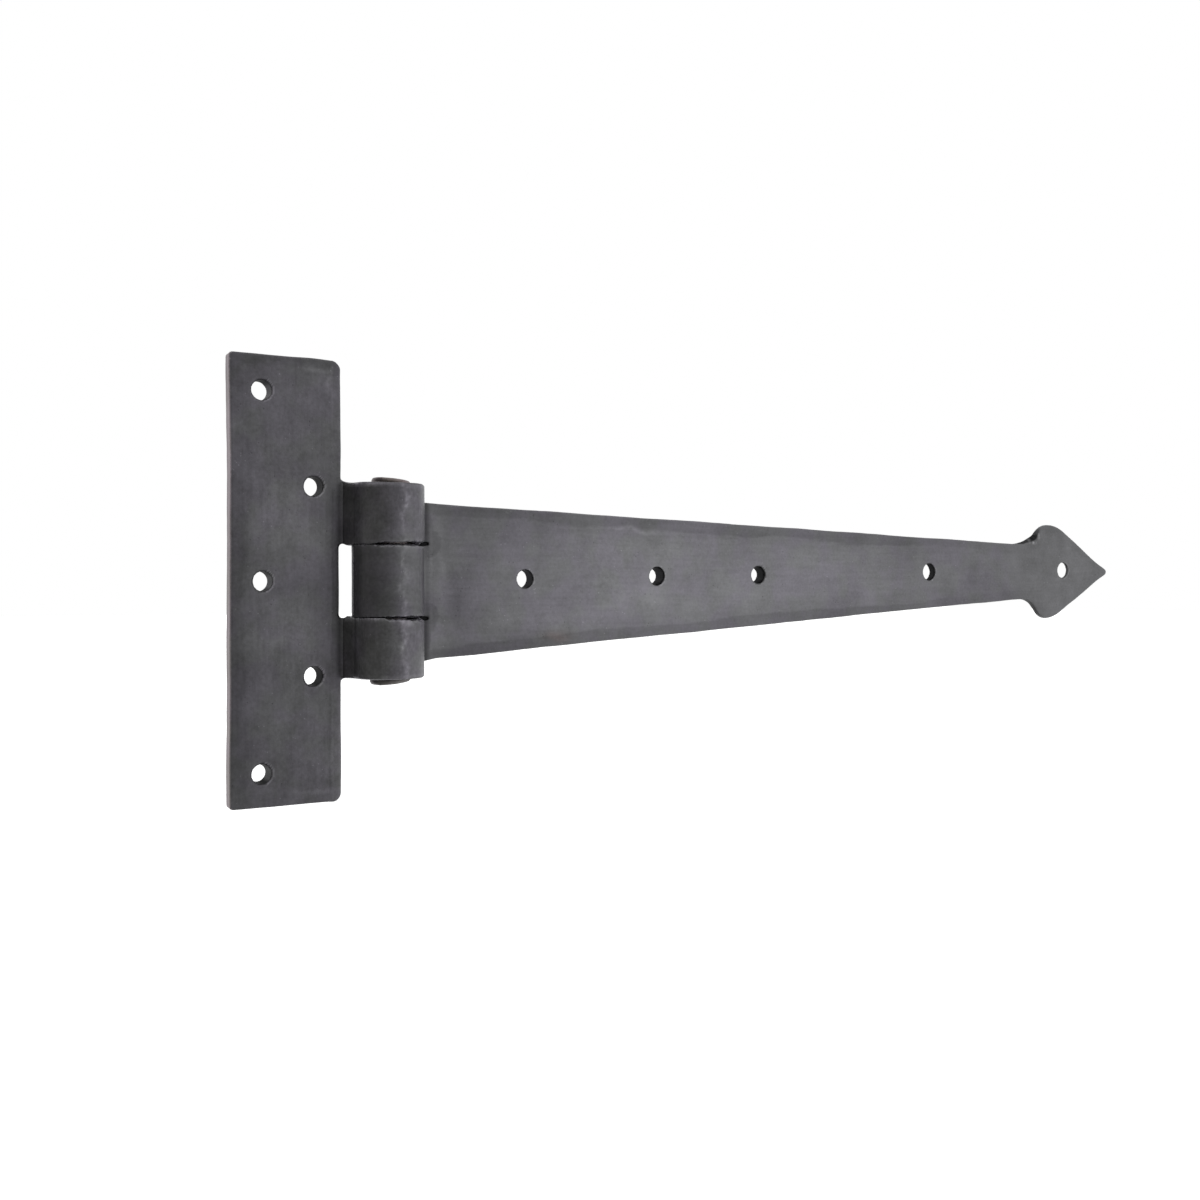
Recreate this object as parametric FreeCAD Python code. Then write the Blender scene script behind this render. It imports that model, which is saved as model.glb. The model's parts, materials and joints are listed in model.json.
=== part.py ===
import FreeCAD, Part
import math
import os

# Tee hinge in forged steel: an upright plate with two rolled knuckles, a long tapered strap with
# one rolled knuckle between them and a spear head, and a pin hammered over at both ends.
# Lengths are in millimetres. X runs along the strap, Z up along the pin, and the front faces -Y.
# The origin is the middle of the plate's back face, so both leaves lie flat on the plane y = 0.

# Plate
PLATE_HEIGHT = 114.3
PLATE_WIDTH = 28.6
LEAF_THICKNESS = 4.4
PLATE_FREE_CORNER_RADIUS = 1.0
PLATE_PIN_CORNER_RADIUS = 2.6

# Pin
PIN_DIAMETER = 9.5
PIN_HEAD_DIAMETER = 10.6
PIN_HEAD_HEIGHT = 1.2
PIN_HEAD_SHIFT = 0.5
PIN_END_SLOPE_DEG = 6.0
PIN_HEAD_BEVEL = 0.5

# Knuckles
PIN_CLEARANCE = 0.08
KNUCKLE_GROUP_LENGTH = 50.4
MIDDLE_KNUCKLE_LENGTH = 18.4
KNUCKLE_GAP = 0.5
EDGE_TO_PIN = 11.3
BEND_RADIUS = 4.0
ROLL_END_ANGLE_DEG = 44.0
KNUCKLE_END_ROUND = 0.8
KNUCKLE_GAP_BEVEL = 0.3
SLOT_DEPTH = 0.5
CORNER_WEB_RADIUS = 1.2
NOTCH_WIDTH = 0.9
NOTCH_PAST_BEND = 0.3

# Strap, with distances along it counted from the pin's axis
STRAP_LENGTH = 290.7
STRAP_ROOT_WIDTH = 41.9
STRAP_NECK_WIDTH = 19.7
STRAP_NECK_TO_POINT = 50.7
STRAP_RISE = 3.0
THINNING_START = 110.0
POINT_THICKNESS = 1.6

# Spear head
SPEAR_WIDTH = 32.8
SPEAR_LENGTH = 32.4
SPEAR_NECK_RADIUS = 8.0
SPEAR_SHOULDER_RADIUS = 7.5
SPEAR_CHEEK_RADIUS = 17.4
SPEAR_POINT_RADIUS = 1.0

# Screw holes
SCREW_HOLE_DIAMETER = 5.5
PLATE_OUTER_HOLE_INSET = 7.7
PLATE_INNER_HOLE_INSET = 21.2
PLATE_OUTER_HOLE_SPACING = 48.6
PLATE_INNER_HOLE_SPACING = 49.2
STRAP_HOLE_DISTANCES = (43.3, 87.9, 125.9, 199.3)
SPEAR_HOLE_TO_POINT = 23.3

# Softened edges of the front faces
EDGE_ROUND = 0.35
THINNED_FACE_LIMIT_DEG = 10.0

# Worked-out sizes
LEAF_EDGE_X = PLATE_WIDTH / 2
PIN_X = LEAF_EDGE_X + EDGE_TO_PIN
BORE_RADIUS = PIN_DIAMETER / 2 + PIN_CLEARANCE
KNUCKLE_RADIUS = BORE_RADIUS + LEAF_THICKNESS
BEND_START = KNUCKLE_RADIUS + BEND_RADIUS
BEND_CENTRE_DEPTH = LEAF_THICKNESS + BEND_RADIUS
GROUP_END = KNUCKLE_GROUP_LENGTH / 2
MIDDLE_END = MIDDLE_KNUCKLE_LENGTH / 2
SLOT_END = MIDDLE_END + KNUCKLE_GAP
ROOT_DISTANCE = EDGE_TO_PIN
STRAP_NECK_DISTANCE = STRAP_LENGTH - STRAP_NECK_TO_POINT
SPEAR_WIDEST_DISTANCE = STRAP_LENGTH - SPEAR_LENGTH
OVERLAP = 2.0
TOUCHING = 1e-6


def vector(x, y, z):
    return FreeCAD.Vector(x, y, z)


def line(start, end):
    return Part.LineSegment(start, end).toShape()


def arc_about(centre, start, end, bulge):
    """Arc about a centre from start to end; bulge is a direction on the arc's side of the chord."""
    radius = start.distanceToPoint(centre)
    middle = centre + FreeCAD.Vector(bulge).normalize() * radius
    return Part.Arc(start, middle, end).toShape()


def prism(edges, direction):
    """Solid swept straight from the closed outline that the edges make."""
    return Part.Face(Part.Wire(edges)).extrude(direction)


def corner_arc(corner, before, after, radius):
    """Round off one corner of an outline: the two tangent points and the arc between them.

    before and after are unit directions from the corner towards its two neighbours.
    """
    half_angle = before.getAngle(after) / 2
    start = corner + before * (radius / math.tan(half_angle))
    end = corner + after * (radius / math.tan(half_angle))
    middle_direction = (before + after).normalize()
    centre = corner + middle_direction * (radius / math.sin(half_angle))
    middle = centre - middle_direction * radius
    return start, Part.Arc(start, middle, end).toShape(), end


def rounded_outline(corners):
    """Closed wire through corners given as (point, radius); a radius of zero leaves it sharp."""
    edges = []
    ends = []
    count = len(corners)
    for index, (corner, radius) in enumerate(corners):
        previous = corners[index - 1][0]
        following = corners[(index + 1) % count][0]
        if radius > 0:
            before = (previous - corner).normalize()
            after = (following - corner).normalize()
            start, arc, end = corner_arc(corner, before, after, radius)
        else:
            start, arc, end = corner, None, corner
        ends.append((start, arc, end))
    for index, (start, arc, end) in enumerate(ends):
        if arc is not None:
            edges.append(arc)
        following_start = ends[(index + 1) % count][0]
        if end.distanceToPoint(following_start) > TOUCHING:
            edges.append(line(end, following_start))
    return edges


def rolled_knuckle(low, high):
    """Knuckle of a leaf that lies towards -X, with its pin axis at x = 0 and the run into its flat.

    The leaf turns up to the front through the bend, passes over the front of the pin and closes
    behind it, where its end meets the back of the bend in a seam.
    """
    flat_start = -(BEND_START + OVERLAP)
    pin = vector(0, -KNUCKLE_RADIUS, low)
    bend = vector(-BEND_START, -BEND_CENTRE_DEPTH, low)
    seam = math.radians(ROLL_END_ANGLE_DEG)
    towards_seam = vector(-math.sin(seam), math.cos(seam), 0)

    front_flat = vector(flat_start, -LEAF_THICKNESS, low)
    front_bend = vector(-BEND_START, -LEAF_THICKNESS, low)
    wall_outside = vector(-KNUCKLE_RADIUS, -BEND_CENTRE_DEPTH, low)
    roll_outside = vector(-KNUCKLE_RADIUS, -KNUCKLE_RADIUS, low)
    end_outside = pin + towards_seam * KNUCKLE_RADIUS
    end_inside = pin + towards_seam * BORE_RADIUS
    roll_inside = vector(-BORE_RADIUS, -KNUCKLE_RADIUS, low)
    wall_inside = vector(-BORE_RADIUS, -BEND_CENTRE_DEPTH, low)
    back_bend = vector(-BEND_START, 0, low)
    back_flat = vector(flat_start, 0, low)

    into_bend = vector(1, 1, 0)
    front_right = vector(1, -1, 0)
    outline = [
        line(front_flat, front_bend),
        arc_about(bend, front_bend, wall_outside, into_bend),
        line(wall_outside, roll_outside),
        arc_about(pin, roll_outside, end_outside, front_right),
        line(end_outside, end_inside),
        arc_about(pin, end_inside, roll_inside, front_right),
        line(roll_inside, wall_inside),
        arc_about(bend, wall_inside, back_bend, into_bend),
        line(back_bend, back_flat),
        line(back_flat, front_flat),
    ]
    return prism(outline, vector(0, 0, high - low))


def outer_roll_edge(knuckle, end_z):
    """The rim of the rolled outside at one end of a knuckle."""
    for edge in knuckle.Edges:
        on_end = all(abs(vertex.Z - end_z) < TOUCHING for vertex in edge.Vertexes)
        if on_end and isinstance(edge.Curve, Part.Circle):
            if abs(edge.Curve.Radius - KNUCKLE_RADIUS) < TOUCHING:
                return edge
    raise ValueError("no rolled rim at z = %.3f" % end_z)


def bevel_gap_end(knuckle, end_z):
    """Break the rolled rim that faces the gap to the next knuckle."""
    return knuckle.makeChamfer(KNUCKLE_GAP_BEVEL, [outer_roll_edge(knuckle, end_z)])


def round_outer_end(knuckle, end_z):
    """Round off the rolled rim at the hinge's outer end, under the pin's head."""
    return knuckle.makeFillet(KNUCKLE_END_ROUND, [outer_roll_edge(knuckle, end_z)])


def soften_front_edges(flat, chosen_x):
    """Round off the front edges of a flat that run up and down at the given x.

    The rounding follows the outline on round each corner that is an arc.
    """
    chosen = []
    for edge in flat.Edges:
        on_front = all(abs(vertex.Y + LEAF_THICKNESS) < TOUCHING for vertex in edge.Vertexes)
        at_x = all(min(abs(vertex.X - x) for x in chosen_x) < TOUCHING for vertex in edge.Vertexes)
        if on_front and at_x:
            chosen.append(edge)
    return flat.makeFillet(EDGE_ROUND, chosen)


def screw_hole(x, z):
    """Round cutter through a leaf, along the leaf's thickness."""
    start = vector(x, -LEAF_THICKNESS - OVERLAP, z)
    length = LEAF_THICKNESS + 2 * OVERLAP
    return Part.makeCylinder(SCREW_HOLE_DIAMETER / 2, length, start, vector(0, 1, 0))


def plate_hole_places():
    outer_x = PLATE_OUTER_HOLE_INSET - LEAF_EDGE_X
    inner_x = PLATE_INNER_HOLE_INSET - LEAF_EDGE_X
    places = [(outer_x, step * PLATE_OUTER_HOLE_SPACING) for step in (-1, 0, 1)]
    places += [(inner_x, side * PLATE_INNER_HOLE_SPACING / 2) for side in (-1, 1)]
    return places


def plate_outline():
    """The flat of the fixed leaf, with its slot and a small web in each corner at the knuckles."""
    top = PLATE_HEIGHT / 2
    flat_x = PIN_X - BEND_START
    web_x = LEAF_EDGE_X + CORNER_WEB_RADIUS
    slot_x = LEAF_EDGE_X - SLOT_DEPTH
    slot_web_x = slot_x + CORNER_WEB_RADIUS
    cover = KNUCKLE_END_ROUND

    def right_side(side):
        """Corners from the plate's end down to the slot; side is 1 for the upper half."""
        return [
            (vector(LEAF_EDGE_X, 0, side * top), PLATE_PIN_CORNER_RADIUS),
            (vector(LEAF_EDGE_X, 0, side * GROUP_END), CORNER_WEB_RADIUS),
            (vector(web_x, 0, side * GROUP_END), 0),
            (vector(web_x, 0, side * (GROUP_END - cover)), 0),
            (vector(flat_x, 0, side * (GROUP_END - cover)), 0),
            (vector(flat_x, 0, side * (SLOT_END + cover)), 0),
            (vector(slot_web_x, 0, side * (SLOT_END + cover)), 0),
            (vector(slot_web_x, 0, side * SLOT_END), 0),
            (vector(slot_x, 0, side * SLOT_END), CORNER_WEB_RADIUS),
        ]

    left_x = -LEAF_EDGE_X
    corners = right_side(1)
    corners += list(reversed(right_side(-1)))
    corners.append((vector(left_x, 0, -top), PLATE_FREE_CORNER_RADIUS))
    corners.append((vector(left_x, 0, top), PLATE_FREE_CORNER_RADIUS))
    return rounded_outline(corners)


def make_fixed_leaf():
    """Plate with two rolled outer knuckles, all one piece."""
    flat = prism(plate_outline(), vector(0, -LEAF_THICKNESS, 0))
    leaf = soften_front_edges(flat, (-LEAF_EDGE_X, LEAF_EDGE_X, LEAF_EDGE_X - SLOT_DEPTH))
    for side in (-1, 1):
        low, high = sorted((side * SLOT_END, side * GROUP_END))
        knuckle = bevel_gap_end(rolled_knuckle(low, high), side * SLOT_END)
        knuckle = round_outer_end(knuckle, side * GROUP_END)
        knuckle.translate(vector(PIN_X, 0, 0))
        leaf = leaf.fuse(knuckle)
    for x, z in plate_hole_places():
        leaf = leaf.cut(screw_hole(x, z))
    return leaf.removeSplitter()


def strap_middle_z(distance):
    """Height of the strap's middle line, which climbs by the rise from its root to its neck."""
    share = (distance - ROOT_DISTANCE) / (STRAP_NECK_DISTANCE - ROOT_DISTANCE)
    return STRAP_RISE * min(share, 1.0)


def strap_point(distance, z):
    return vector(PIN_X + distance, 0, z)


def strap_side(side):
    """Edges of one long side of the strap from its root to its point; side is 1 for the upper."""
    up = vector(0, 0, side)
    root = strap_point(ROOT_DISTANCE, side * STRAP_ROOT_WIDTH / 2)
    neck = strap_point(STRAP_NECK_DISTANCE, STRAP_RISE + side * STRAP_NECK_WIDTH / 2)
    along = (neck - root).normalize()
    outward = vector(-side * along.z, 0, side * along.x)
    half_width = SPEAR_WIDTH / 2

    # Shoulder arc about its centre, touching a hollow neck arc that runs out of the straight edge
    shoulder = strap_point(SPEAR_WIDEST_DISTANCE, STRAP_RISE + side * (half_width - SPEAR_SHOULDER_RADIUS))
    from_root = shoulder - root
    offset = SPEAR_NECK_RADIUS - from_root.dot(outward)
    reach = SPEAR_NECK_RADIUS + SPEAR_SHOULDER_RADIUS
    hollow_run = from_root.dot(along) - math.sqrt(reach ** 2 - offset ** 2)
    straight_end = root + along * hollow_run
    hollow = straight_end + outward * SPEAR_NECK_RADIUS
    meeting = hollow + (shoulder - hollow).normalize() * SPEAR_NECK_RADIUS
    widest = shoulder + up * SPEAR_SHOULDER_RADIUS

    # Cheek arc, left along its tangent through the spear's sharp point
    cheek = widest - up * SPEAR_CHEEK_RADIUS
    sharp_point = strap_point(STRAP_LENGTH, STRAP_RISE)
    to_point = sharp_point - cheek
    tangent_angle = math.acos(SPEAR_CHEEK_RADIUS / to_point.Length)
    point_angle = math.atan2(side * to_point.z, to_point.x)
    leave_angle = point_angle + tangent_angle
    leave = cheek + vector(math.cos(leave_angle), 0, side * math.sin(leave_angle)) * SPEAR_CHEEK_RADIUS

    # Rounded tip between the two cheeks' tangents
    slant = (sharp_point - leave).normalize()
    half_point_angle = math.atan2(abs(slant.z), slant.x)
    tip_start = sharp_point - slant * (SPEAR_POINT_RADIUS / math.tan(half_point_angle))

    hollow_middle = (straight_end - hollow) + (meeting - hollow)
    shoulder_middle = (meeting - shoulder) + (widest - shoulder)
    cheek_middle = (widest - cheek) + (leave - cheek)
    edges = [
        line(root, straight_end),
        arc_about(hollow, straight_end, meeting, hollow_middle),
        arc_about(shoulder, meeting, widest, shoulder_middle),
        arc_about(cheek, widest, leave, cheek_middle),
        line(leave, tip_start),
    ]
    tip_centre_distance = SPEAR_POINT_RADIUS / math.sin(half_point_angle)
    tip_middle = sharp_point - vector(tip_centre_distance - SPEAR_POINT_RADIUS, 0, 0)
    return edges, root, tip_start, tip_middle


def strap_outline():
    upper, upper_root, upper_tip, tip_middle = strap_side(1)
    lower, lower_root, lower_tip, _ = strap_side(-1)
    tip = Part.Arc(upper_tip, tip_middle, lower_tip).toShape()
    return upper + [tip] + list(reversed(lower)) + [line(lower_root, upper_root)]


def thinning_cutter():
    """Wedge that takes the strap's front face back, so that it thins towards the spear's point."""
    start_x = PIN_X + THINNING_START
    end_x = PIN_X + STRAP_LENGTH
    slope = (LEAF_THICKNESS - POINT_THICKNESS) / (end_x - start_x)
    past_x = end_x + OVERLAP
    past_y = -POINT_THICKNESS + slope * OVERLAP
    low = -STRAP_ROOT_WIDTH
    front_y = -LEAF_THICKNESS - OVERLAP
    outline = [
        vector(start_x, -LEAF_THICKNESS, low),
        vector(past_x, past_y, low),
        vector(past_x, front_y, low),
        vector(start_x, front_y, low),
    ]
    edges = [line(outline[index - 1], outline[index]) for index in range(4)]
    return prism(edges, vector(0, 0, 2 * STRAP_ROOT_WIDTH))


def soften_strap_edges(blade):
    """Round off the front edges all along the strap's outline, with its thinned stretch."""
    root_x = PIN_X + ROOT_DISTANCE
    thinning_x = PIN_X + THINNING_START
    chosen = []
    for face in blade.Faces:
        if face.normalAt(0, 0).y > -math.cos(math.radians(THINNED_FACE_LIMIT_DEG)):
            continue
        for edge in face.OuterWire.Edges:
            places = [vertex.X for vertex in edge.Vertexes]
            at_root = all(abs(x - root_x) < TOUCHING for x in places)
            at_thinning = all(abs(x - thinning_x) < TOUCHING for x in places)
            if not at_root and not at_thinning:
                chosen.append(edge)
    return blade.makeFillet(EDGE_ROUND, chosen)


def root_cutter():
    """Opening in the strap's root for its knuckle, with a narrow notch past each side of it."""
    half_height = MIDDLE_END + NOTCH_WIDTH
    start_x = PIN_X + ROOT_DISTANCE - OVERLAP
    depth = BEND_START + NOTCH_PAST_BEND - ROOT_DISTANCE + OVERLAP
    corner = vector(start_x, -LEAF_THICKNESS - OVERLAP, -half_height)
    return Part.makeBox(depth, LEAF_THICKNESS + 2 * OVERLAP, 2 * half_height, corner)


def strap_hole_distances():
    return STRAP_HOLE_DISTANCES + (STRAP_LENGTH - SPEAR_HOLE_TO_POINT,)


def make_strap_leaf():
    """Tapered strap with a spear head and one rolled middle knuckle, all one piece."""
    blade = prism(strap_outline(), vector(0, -LEAF_THICKNESS, 0))
    blade = soften_strap_edges(blade.cut(thinning_cutter()))
    blade = blade.cut(root_cutter())
    knuckle = rolled_knuckle(-MIDDLE_END, MIDDLE_END)
    for side in (-1, 1):
        knuckle = bevel_gap_end(knuckle, side * MIDDLE_END)
    knuckle.rotate(vector(0, 0, 0), vector(1, 0, 0), 180)
    knuckle.rotate(vector(0, 0, 0), vector(0, 0, 1), 180)
    knuckle.translate(vector(PIN_X, 0, 0))
    leaf = blade.fuse(knuckle)
    for distance in strap_hole_distances():
        leaf = leaf.cut(screw_hole(PIN_X + distance, strap_middle_z(distance)))
    return leaf.removeSplitter()


def pin_head(side):
    """One hammered end of the pin, spread over the knuckle and left slightly aslant."""
    radius = PIN_HEAD_DIAMETER / 2
    centre = vector(PIN_X + PIN_HEAD_SHIFT, -KNUCKLE_RADIUS, side * GROUP_END)
    blank = Part.makeCylinder(radius, 2 * PIN_HEAD_HEIGHT + radius, centre, vector(0, 0, side))
    reach = 4 * radius
    cutter = Part.makeBox(2 * reach, 2 * reach, reach, vector(-reach, -reach, 0))
    if side < 0:
        cutter.rotate(vector(0, 0, 0), vector(1, 0, 0), 180)
    cutter.rotate(vector(0, 0, 0), vector(0, 1, 0), side * PIN_END_SLOPE_DEG)
    cutter.translate(vector(PIN_X, -KNUCKLE_RADIUS, side * (GROUP_END + PIN_HEAD_HEIGHT)))
    head = blank.cut(cutter)
    rim = max(head.Edges, key=lambda edge: side * edge.BoundBox.Center.z)
    return head.makeChamfer(PIN_HEAD_BEVEL, [rim])


def make_hinge_pin():
    foot = vector(PIN_X, -KNUCKLE_RADIUS, -GROUP_END)
    pin = Part.makeCylinder(PIN_DIAMETER / 2, KNUCKLE_GROUP_LENGTH, foot)
    for side in (-1, 1):
        pin = pin.fuse(pin_head(side))
    return pin.removeSplitter()


def main():
    pieces = {
        "fixed_leaf": make_fixed_leaf(),
        "strap_leaf": make_strap_leaf(),
        "hinge_pin": make_hinge_pin(),
    }
    os.makedirs("parts", exist_ok=True)
    for name, shape in pieces.items():
        shape.exportStep("parts/%s.step" % name)
        box = shape.BoundBox
        print("%s: valid %s, solids %d, volume %.0f, x %.2f to %.2f, y %.2f to %.2f, z %.2f to %.2f" % (
            name, shape.isValid(), len(shape.Solids), shape.Volume,
            box.XMin, box.XMax, box.YMin, box.YMax, box.ZMin, box.ZMax))


main()
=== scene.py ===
import json
import math

import bmesh
import bpy
import numpy as np
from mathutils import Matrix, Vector, bvhtree, kdtree, noise


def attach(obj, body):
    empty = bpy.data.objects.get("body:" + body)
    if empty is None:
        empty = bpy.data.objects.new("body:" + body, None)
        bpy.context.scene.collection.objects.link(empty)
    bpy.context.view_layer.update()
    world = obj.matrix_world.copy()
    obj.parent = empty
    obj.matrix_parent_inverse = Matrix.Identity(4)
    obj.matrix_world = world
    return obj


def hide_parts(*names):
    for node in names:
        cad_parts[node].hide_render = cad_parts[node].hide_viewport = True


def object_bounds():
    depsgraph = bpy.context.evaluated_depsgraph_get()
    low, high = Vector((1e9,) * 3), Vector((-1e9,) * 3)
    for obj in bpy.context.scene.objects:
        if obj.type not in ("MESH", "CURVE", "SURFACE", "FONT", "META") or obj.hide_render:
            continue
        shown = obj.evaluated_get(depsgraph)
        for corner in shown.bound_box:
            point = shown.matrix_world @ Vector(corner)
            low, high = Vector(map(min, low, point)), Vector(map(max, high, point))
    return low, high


# The tee hinge's looks: each forged leaf and the pin get a finely meshed copy of their solid with
# hammered unevenness, softened edges and ragged gaps, and a waxed dark steel finish.
# Lengths are in millimetres unless a name says otherwise. The frame itself is in metres.

MM = 0.001

# Sizes that the solids have: the knuckles' ends are heights along the pin, from the middle
LEAF_THICKNESS = 4.4
BEND_RADIUS = 4.0
MIDDLE_END = 9.2
SLOT_END = 9.7
GAP_MIDDLE = (MIDDLE_END + SLOT_END) / 2
GAP_BEVEL = 0.3
GROUP_END = 25.2
HOLE_RADIUS = 2.75

# How the fine meshes are made
SHARP_EDGE_DEG = 35.0
RIM_POINT_SPACING = 0.6
ROUND_FACE_REACH = 0.12
SMOOTH_SHADING_DEG = 38.0

# Screw holes: x, z, how much tighter the real one is in front and at the back, and how much
# painted shade darkens its walls
PLATE_HOLES = (
    (-6.6, -48.6, 0.18, 0.52, 0.54),
    (-6.6, 0.0, 0.25, 0.25, 0.64),
    (-6.6, 48.6, 0.17, 0.24, 0.60),
    (6.9, -24.6, 0.27, 0.52, 0.80),
    (6.9, 24.6, 0.15, 0.38, 0.76),
)
STRAP_HOLES = (
    (68.9, 0.42, 0.24, 0.22, 0.81),
    (113.5, 1.0, 0.10, 0.60, 0.78),
    (151.5, 1.5, 0.10, 0.55, 0.79),
    (224.9, 2.47, 0.0, 0.0, 0.81),
    (293.0, 3.0, 0.0, 0.0, 0.25),
)

# Camera, as fitted to the photograph's edges
CAMERA_PLACE = (-127.46, -359.91, 0.41)
CAMERA_YAW_DEG = 31.84
SENSOR_MM = 36.0
FRAME_PX = 1200.0
FOCAL_PX = 1455.0
HORIZON_ROW_PX = 579.2

# The floor: how far it lies below the hinge, and how far it reaches to each side
FLOOR_DROP_M = 0.10
FLOOR_REACH_M = 6.0

# Finishes: their dark and light tone, least roughness, and the grain's stretch along x, y and z
FINISHES = {
    # The fixed leaf's tones are set darker than the strap's, as painted shade on the plate
    "leaf_steel": ((0.102, 0.100, 0.106), (0.178, 0.174, 0.190), 0.36, (1.0, 1.0, 0.07)),
    "strap_steel": ((0.136, 0.134, 0.143), (0.209, 0.205, 0.223), 0.36, (0.07, 1.0, 1.0)),
    "pin_steel": ((0.080, 0.074, 0.075), (0.138, 0.128, 0.130), 0.42, (1.0, 1.0, 1.0)),
}

# Marks on the plate's front: x, z, reach along x and z, and how much lighter or darker
PLATE_MARKS = (
    (-14.5, -32.0, 4.4, 42.0, -0.18),
    (-12.2, 34.0, 1.4, 12.0, 0.14),
    (0.0, 58.5, 40.0, 3.4, -0.14),
    (9.0, 57.5, 8.0, 2.5, -0.15),
    (-10.6, 34.0, 1.6, 14.0, -0.13),
    (-10.5, -36.0, 3.5, 12.0, -0.10),
    (-6.0, 13.0, 6.0, 9.0, 0.07),
    (-1.0, 24.0, 6.0, 5.0, 0.11),
    (1.0, 15.0, 8.5, 8.0, 0.33),
    (8.5, 9.0, 5.0, 6.0, 0.26),
    (0.0, -2.0, 8.0, 3.0, -0.09),
    (3.0, -12.5, 8.0, 6.5, 0.30),
    (6.0, -19.0, 7.0, 8.0, 0.10),
    (-1.0, 32.0, 9.0, 9.0, 0.08),
    (9.0, -42.0, 7.0, 12.0, 0.10),
    (14.0, -45.0, 2.6, 14.0, 0.38),
    (8.0, -53.6, 6.0, 0.6, 0.22),
    (7.6, 53.9, 3.2, 0.5, 0.34),
    (11.0, 51.0, 0.6, 2.6, 0.38),
    (12.6, 44.0, 1.2, 7.0, 0.16),
    (12.4, -17.5, 1.3, 7.5, -0.13),
    (12.4, 17.5, 1.3, 7.5, -0.12),
)

# Marks on the strap's front, in the same way, and the strap's painted light and shade along x
STRAP_MARKS = (
    (40.6, 0.0, 1.2, 8.5, -0.14),
    (42.5, 0.0, 1.0, 16.0, 0.08),
    (47.5, -7.0, 4.0, 7.0, -0.14),
    (45.0, 10.0, 2.0, 5.0, -0.08),
    (52.0, -13.5, 6.0, 3.0, 0.12),
    (63.0, 12.0, 12.0, 4.0, -0.10),
    (75.0, -15.9, 1.0, 1.5, -0.16),
    (78.0, -11.5, 9.0, 4.0, 0.20),
    (98.0, 7.5, 8.0, 4.0, 0.12),
    (108.0, -11.0, 16.0, 4.0, -0.12),
    (152.0, -12.0, 11.0, 3.0, 0.11),
    (167.0, 12.5, 8.0, 4.0, -0.12),
    (99.5, 15.6, 2.8, 0.45, 0.30),
    (104.0, 15.0, 3.0, 0.45, 0.40),
    (109.5, 14.5, 2.8, 0.45, 0.30),
    (104.0, -4.0, 14.0, 7.0, 0.05),
)
STRAP_LIGHT_ALONG_X = (
    (18.0, 0.66), (24.0, 0.80), (33.0, 0.86), (36.0, 1.18), (41.0, 1.26), (46.0, 1.05),
    (53.5, 1.07), (61.0, 1.13), (69.0, 1.19), (80.0, 1.29), (93.0, 1.44), (117.0, 1.46),
    (163.0, 1.39), (193.0, 1.29), (214.0, 1.19), (237.0, 1.11), (260.0, 1.01), (285.0, 1.07),
    (306.0, 1.13),
)

# Pushes that make the outline and the places of the holes as uneven as the real ones: x, z, reach
# along both, and the move in x and z
PLATE_PUSHES = (
    (-14.3, 54.0, 4.0, 16.0, -0.45, 0.0),
    (-14.3, -48.0, 4.0, 22.0, -0.20, 0.0),
    (-14.3, -5.0, 3.0, 30.0, -0.12, 0.0),
    (16.0, 25.2, 2.2, 1.5, 0.0, 0.15),
    (14.3, -45.0, 3.0, 16.0, 0.20, 0.0),
    (13.5, 57.0, 5.0, 3.0, 0.0, -0.35),
    (14.6, 25.0, 1.1, 2.0, 0.0, 0.45),
    (14.0, -56.8, 1.8, 1.8, 0.10, -0.28),
    (0.0, 57.0, 20.0, 3.0, 0.0, -0.08),
    (4.0, -57.0, 20.0, 3.0, 0.0, 0.11),
    (-6.6, 48.6, 4.0, 4.0, -0.06, -0.92),
    (6.9, 24.6, 4.0, 4.0, 0.0, -0.62),
    (6.9, -24.6, 4.0, 4.0, -0.08, 0.15),
    (-6.6, 0.0, 4.0, 4.0, 0.25, -0.20),
)
STRAP_PUSHES = (
    (38.5, 9.6, 1.6, 0.9, 0.0, 0.40),
    (38.5, -9.6, 1.6, 0.9, 0.0, -0.40),
    (50.0, -19.0, 45.0, 14.0, 0.0, -0.26),
    (50.0, 19.0, 45.0, 14.0, 0.0, -0.10),
    (225.0, -11.0, 45.0, 10.0, 0.0, 0.20),
    (273.4, 14.4, 4.2, 3.0, 0.0, 1.50),
    (286.0, 19.5, 13.0, 6.0, 0.0, 0.45),
    (293.0, -10.5, 8.0, 5.0, 0.0, 0.75),
    (279.0, -15.0, 9.0, 5.0, 0.0, -0.45),
    (273.0, -9.0, 4.0, 3.0, 0.0, -0.35),
    (298.0, 13.0, 8.0, 5.0, 0.0, 0.40),
    (314.5, 3.2, 3.0, 4.0, 0.9, 0.0),
    (293.0, 3.0, 4.5, 4.5, -1.0, 1.00),
    (224.9, 2.5, 4.5, 4.5, -0.65, 0.65),
    (151.5, 1.5, 4.5, 4.5, -0.50, 0.40),
    (113.5, 1.0, 4.5, 4.5, -0.40, 0.45),
    (68.9, 0.4, 4.5, 4.5, -0.15, 0.20),
)

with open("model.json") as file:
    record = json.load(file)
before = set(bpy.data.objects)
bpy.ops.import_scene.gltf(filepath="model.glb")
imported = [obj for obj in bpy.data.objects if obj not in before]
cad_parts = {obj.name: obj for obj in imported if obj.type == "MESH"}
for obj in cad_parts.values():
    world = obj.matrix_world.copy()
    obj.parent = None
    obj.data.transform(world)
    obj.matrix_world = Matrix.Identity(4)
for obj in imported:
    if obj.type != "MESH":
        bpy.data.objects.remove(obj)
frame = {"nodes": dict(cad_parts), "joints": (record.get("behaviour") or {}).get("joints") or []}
CAD_LOW, CAD_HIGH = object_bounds()
PIN_X, PIN_Y, _ = (value / MM for value in frame["joints"][0]["pos_m"])
KNUCKLE_RADIUS = -PIN_Y


# Meshes

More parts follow.
